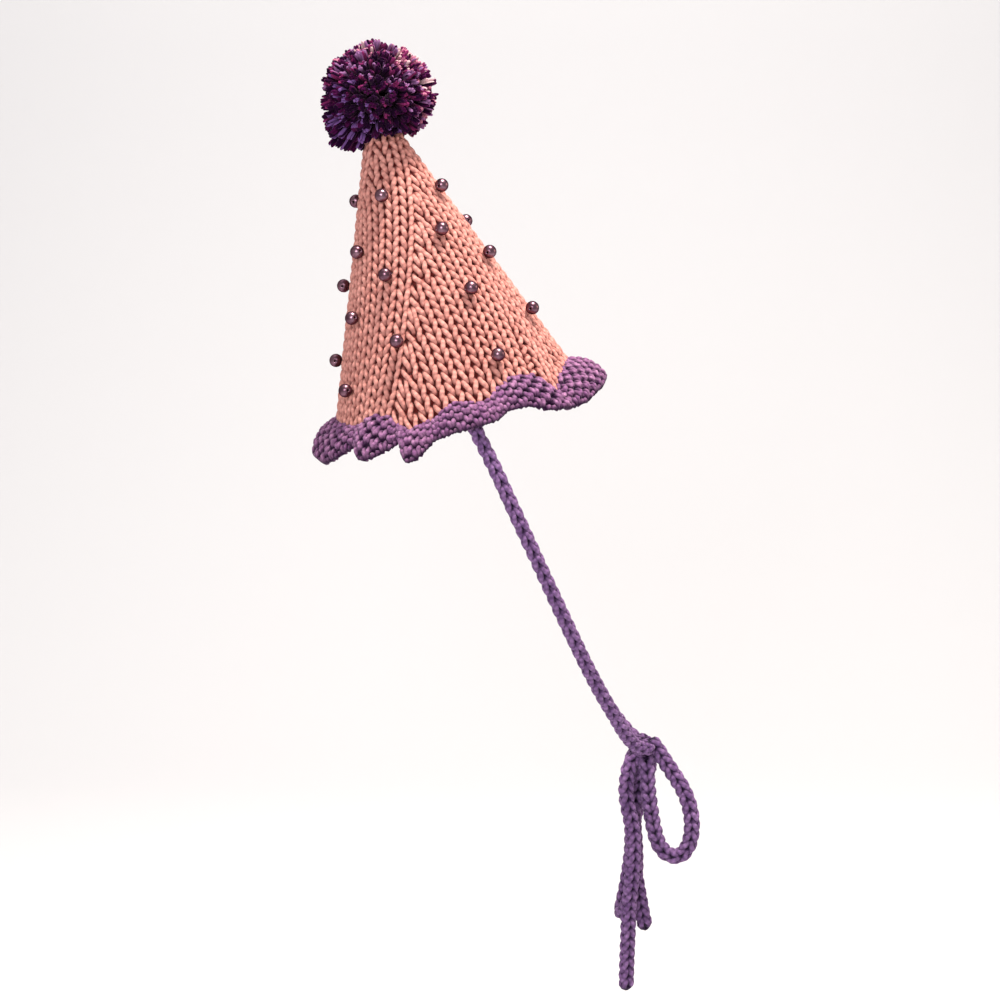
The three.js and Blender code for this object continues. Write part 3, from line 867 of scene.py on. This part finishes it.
def makeBead(number, material):
    name = "bead_%02d" % number
    low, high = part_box(name)
    centre = (low + high) / 2
    upright = tiltMatrix.inverted() @ (centre / mm)
    azimuth = math.degrees(math.atan2(upright.x, -upright.y))
    # the hole runs along the knit, sideways
    axis = hatPoint(azimuth + 90, 1, 0)
    bm = bmesh.new()
    half = math.asin(bead["hole"] / bead["radius"])
    for step in range(bead["rings"] + 1):
        angle = mix(half, math.pi - half, step / bead["rings"])
        bm.verts.new((bead["radius"] * math.sin(angle), 0, bead["radius"] * math.cos(angle)))
    deep = bead["radius"] * bead["holeDepth"]
    bm.verts.new((bead["hole"], 0, -deep))
    bm.verts.new((bead["hole"], 0, deep))
    chain = list(bm.verts)
    for a, b in zip(chain, chain[1:] + chain[:1]):
        bm.edges.new((a, b))
    bmesh.ops.spin(
        bm, geom=bm.verts[:] + bm.edges[:], cent=(0, 0, 0), axis=(0, 0, 1),
        angle=2 * math.pi, steps=bead["segments"], use_merge=True)
    bmesh.ops.remove_doubles(bm, verts=bm.verts, dist=1e-4)
    bmesh.ops.recalc_face_normals(bm, faces=bm.faces)
    turn = Vector((0, 0, 1)).rotation_difference(axis).to_matrix().to_4x4()
    place = Matrix.Translation(centre) @ turn @ Matrix.Scale(mm, 4)
    bmesh.ops.transform(bm, matrix=place, verts=bm.verts)
    mesh = bpy.data.meshes.new(name + "_pearl")
    bm.to_mesh(mesh)
    bm.free()
    mesh.shade_smooth()
    mesh.materials.append(material)
    piece = bpy.data.objects.new(name + "_pearl", mesh)
    bpy.context.scene.collection.objects.link(piece)
    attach(piece, "root")
    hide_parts(name)


def beadMaterial():
    material, nodes, links, shader = newMaterial("pearl")
    place = nodes.new("ShaderNodeTexCoord")
    noise = nodes.new("ShaderNodeTexNoise")
    noise.inputs["Scale"].default_value = bead["cloudScale"]
    noise.inputs["Detail"].default_value = 3
    links.new(place.outputs["Object"], noise.inputs["Vector"])
    shade = nodes.new("ShaderNodeValToRGB")
    for index in range(2):
        shade.color_ramp.elements[index].position = bead["shadeRange"][index]
        shade.color_ramp.elements[index].color = (*bead["shades"][index], 1)
    links.new(noise.outputs["Fac"], shade.inputs["Fac"])
    links.new(shade.outputs["Color"], shader.inputs["Base Color"])
    shader.inputs["Metallic"].default_value = 1
    shader.inputs["Roughness"].default_value = bead["roughness"]
    shader.inputs["Specular Tint"].default_value = (*bead["edgeTint"], 1)
    return material


# Each patch of directions from the pompom's centre draws one shade, so that the plies of a
# cut end mostly share it
def pompomMaterial():
    material, nodes, links, shader = newMaterial("pompom")
    place = nodes.new("ShaderNodeTexCoord")
    middle = nodes.new("ShaderNodeVectorMath")
    middle.operation = "SUBTRACT"
    middle.inputs[1].default_value = (tiltMatrix @ Vector(pompom["centre"])) * mm
    links.new(place.outputs["Object"], middle.inputs[0])
    way = nodes.new("ShaderNodeVectorMath")
    way.operation = "NORMALIZE"
    links.new(middle.outputs["Vector"], way.inputs[0])
    cells = nodes.new("ShaderNodeTexVoronoi")
    cells.inputs["Scale"].default_value = pompom["cells"]
    links.new(way.outputs["Vector"], cells.inputs["Vector"])
    split = nodes.new("ShaderNodeSeparateColor")
    links.new(cells.outputs["Color"], split.inputs["Color"])
    # painted light and shade: tufts that face the top, the front and away from the camera draw
    # lighter shades, those that face the camera darker ones
    lighter = nodes.new("ShaderNodeVectorMath")
    lighter.operation = "DOT_PRODUCT"
    lighter.inputs[1].default_value = pompom["lighter"]
    links.new(way.outputs["Vector"], lighter.inputs[0])
    zone = nodes.new("ShaderNodeMath")
    zone.inputs[1].default_value = pompom["middleShade"]
    links.new(lighter.outputs["Value"], zone.inputs[0])
    draw = nodes.new("ShaderNodeMath")
    draw.operation = "MULTIPLY_ADD"
    draw.inputs[1].default_value = pompom["shadeRange"]
    links.new(split.outputs["Red"], draw.inputs[0])
    links.new(zone.outputs["Value"], draw.inputs[2])
    ramp = nodes.new("ShaderNodeValToRGB")
    ramp.color_ramp.interpolation = "CONSTANT"
    elements = ramp.color_ramp.elements
    elements.remove(elements[1])
    elements[0].color = (*pompomShades[0][1], 1)
    for position, shade in pompomShades[1:]:
        elements.new(position).color = (*shade, 1)
    links.new(draw.outputs["Value"], ramp.inputs["Fac"])
    # painted shade: the tufts are painted darker towards the ball's core
    paintedShade = nodes.new("ShaderNodeAttribute")
    paintedShade.attribute_name = "paintedShade"
    shadow = nodes.new("ShaderNodeMix")
    shadow.data_type = "RGBA"
    links.new(paintedShade.outputs["Fac"], shadow.inputs["Factor"])
    links.new(ramp.outputs["Color"], shadow.inputs["A"])
    shadow.inputs["B"].default_value = (*pompom["deep"], 1)
    links.new(shadow.outputs["Result"], shader.inputs["Base Color"])
    fibre = nodes.new("ShaderNodeTexNoise")
    fibre.inputs["Scale"].default_value = pompom["fibreScale"]
    fibre.inputs["Detail"].default_value = 5
    links.new(place.outputs["Object"], fibre.inputs["Vector"])
    bump = nodes.new("ShaderNodeBump")
    bump.inputs["Strength"].default_value = pompom["bump"]
    bump.inputs["Distance"].default_value = pompom["bumpDistance"] * mm
    links.new(fibre.outputs["Fac"], bump.inputs["Height"])
    links.new(bump.outputs["Normal"], shader.inputs["Normal"])
    shader.inputs["Roughness"].default_value = 0.95
    shader.inputs["Specular IOR Level"].default_value = 0.05
    shader.inputs["Sheen Weight"].default_value = pompom["sheen"]
    shader.inputs["Sheen Roughness"].default_value = 0.4
    shader.inputs["Sheen Tint"].default_value = (*pompom["sheenTint"], 1)
    return material


# Stage: one pale sweep of floor and backdrop, and soft lights

stage = {
    "floor": -400,
    "back": 1500,
    "width": 6000,
    "front": -3500,
    "rise": 4000,
    "bend": 700,
    "bendSteps": 12,
    "paper": (0.67, 0.675, 0.70),
    "air": (1, 0.97, 0.95),
    "airStrength": 0.435,
}


def makeStage():
    bm = bmesh.new()
    left = -stage["width"] / 2
    line = [Vector((left, stage["front"], stage["floor"]))]
    for step in range(stage["bendSteps"] + 1):
        angle = math.pi / 2 * step / stage["bendSteps"]
        line.append(Vector((
            left, stage["back"] - stage["bend"] * (1 - math.sin(angle)),
            stage["floor"] + stage["bend"] * (1 - math.cos(angle)))))
    line.append(Vector((left, stage["back"], stage["rise"])))
    verts = [bm.verts.new(p * mm) for p in line]
    edges = [bm.edges.new(pair) for pair in zip(verts, verts[1:])]
    made = bmesh.ops.extrude_edge_only(bm, edges=edges)
    moved = [v for v in made["geom"] if isinstance(v, bmesh.types.BMVert)]
    bmesh.ops.translate(bm, verts=moved, vec=(stage["width"] * mm, 0, 0))
    bmesh.ops.recalc_face_normals(bm, faces=bm.faces)
    mesh = bpy.data.meshes.new("sweep")
    bm.to_mesh(mesh)
    bm.free()
    mesh.shade_smooth()
    material, nodes, links, shader = newMaterial("paper")
    shader.inputs["Base Color"].default_value = (*stage["paper"], 1)
    shader.inputs["Roughness"].default_value = 0.95
    mesh.materials.append(material)
    piece = bpy.data.objects.new("sweep", mesh)
    bpy.context.scene.collection.objects.link(piece)


lights = [
    {"name": "key", "place": (260, -160, 1480), "aim": (20, 0, 0), "size": 260, "power": 38,
     "tint": (1, 0.93, 0.85)},
    {"name": "side", "place": (1200, 100, 300), "aim": (20, 0, 0), "size": 420, "power": 2.5,
     "tint": (1, 0.8, 0.62)},
    {"name": "window", "place": (-250, -1500, 450), "aim": (0, 0, 0), "size": 500, "power": 12,
     "tint": (0.96, 0.97, 1)},
    {"name": "wall", "place": (0, 500, 1500), "aim": (0, 1500, 0), "size": 1600, "power": 8,
     "tint": (1, 0.98, 0.95)},
]


def makeLights():
    for light in lights:
        data = bpy.data.lights.new(light["name"], "AREA")
        data.size = light["size"] * mm
        data.energy = light["power"]
        data.color = light["tint"]
        made = bpy.data.objects.new(light["name"], data)
        made.location = Vector(light["place"]) * mm
        aim = Vector(light["aim"]) * mm - made.location
        made.rotation_euler = aim.to_track_quat("-Z", "Y").to_euler()
        bpy.context.scene.collection.objects.link(made)
    world = bpy.data.worlds.new("World")
    world.use_nodes = True
    air = world.node_tree.nodes["Background"]
    air.inputs["Color"].default_value = (*stage["air"], 1)
    air.inputs["Strength"].default_value = stage["airStrength"]
    bpy.context.scene.world = world
    bpy.context.scene.view_settings.view_transform = "Standard"


makeCamera()
print("camera")
pinkYarn = yarnMaterial("pink_yarn", pinkLook)
purpleYarn = yarnMaterial("purple_yarn", purpleLook)
makeCords(yarnMaterial("cord_yarn", cordLook))
print("cords")
makeCrown(pinkYarn)
print("crown")
makeRuffle(purpleYarn)
print("ruffle")
makePompom(pompomMaterial())
print("pompom")
pearl = beadMaterial()
for number in range(1, 25):
    makeBead(number, pearl)
print("beads")
makeStage()
makeLights()
